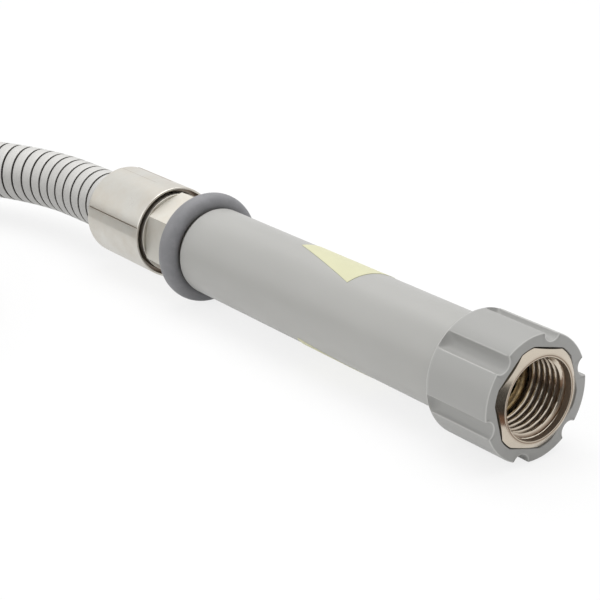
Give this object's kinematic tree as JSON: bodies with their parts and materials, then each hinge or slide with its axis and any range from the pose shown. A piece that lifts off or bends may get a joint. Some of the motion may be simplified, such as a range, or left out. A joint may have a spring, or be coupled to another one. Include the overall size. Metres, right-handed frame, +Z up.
{
  "type": "flexible metal hose with grip handle",
  "caption": "Strip-wound flexible metal water hose with a round grip handle, a rubber bumper ring, a hand-tightened ribbed coupling at the handle's end and a union nut at each hose end.",
  "frame": {"origin": "on the floor, under the middle of the handle, which lies on its bumper ring", "axes": "+X along the handle towards the coupling's mouth, +Z up, the hose leaving at -X"},
  "size_m": [0.3171, 0.2679, 0.0418],
  "materials": {
    "cover_plastic": "grey plastic, smooth with a soft sheen",
    "insert_brass": "machined, lightly plated",
    "washer_plastic": "natural nylon",
    "pipe_brass": "drawn brass",
    "grip_plastic": "grey plastic, smooth with a soft sheen",
    "label_film": "pale yellow film, bare",
    "bush_plastic": "moulded plastic",
    "ring_rubber": "smooth grey rubber",
    "seal_rubber": "black rubber",
    "fitting_nickel": "satin nickel plate",
    "nut_nickel": "satin nickel plate",
    "ferrule_steel": "pressed stainless steel",
    "hose_steel": "strip-wound steel with interlocking edges"
  },
  "bodies": {
    "handle": {"slip_washer": "washer_plastic", "handle_pipe": "pipe_brass", "grip_sleeve": "grip_plastic", "grip_label": "label_film", "front_bush": "bush_plastic", "rear_bush": "bush_plastic", "bumper_ring": "ring_rubber", "pipe_seal": "seal_rubber", "hose_adaptor": "fitting_nickel", "hose_run": "hose_steel", "hose_coil": "hose_steel", "hose_end": "hose_steel", "hose_nut": "nut_nickel", "hose_washer": "seal_rubber", "far_hose_washer": "seal_rubber", "hose_tail": "pipe_brass", "far_hose_tail": "pipe_brass", "hose_ferrule": "ferrule_steel", "far_hose_ferrule": "ferrule_steel"},
    "coupling_nut": {"coupling_cover": "cover_plastic", "coupling_insert": "insert_brass"},
    "far_nut": {"far_hose_nut": "nut_nickel"}
  },
  "joints": [
    {"name": "coupling_spin", "type": "hinge", "parent": "handle", "child": "coupling_nut", "pos_m": [0.08, 0, 0.0162], "axis": [1, 0, 0], "continuous": true},
    {"name": "far_nut_spin", "type": "hinge", "parent": "handle", "child": "far_nut", "pos_m": [-0.0575, -0.238, 0.0281], "axis": [1, 0, 0], "continuous": true}
  ]
}
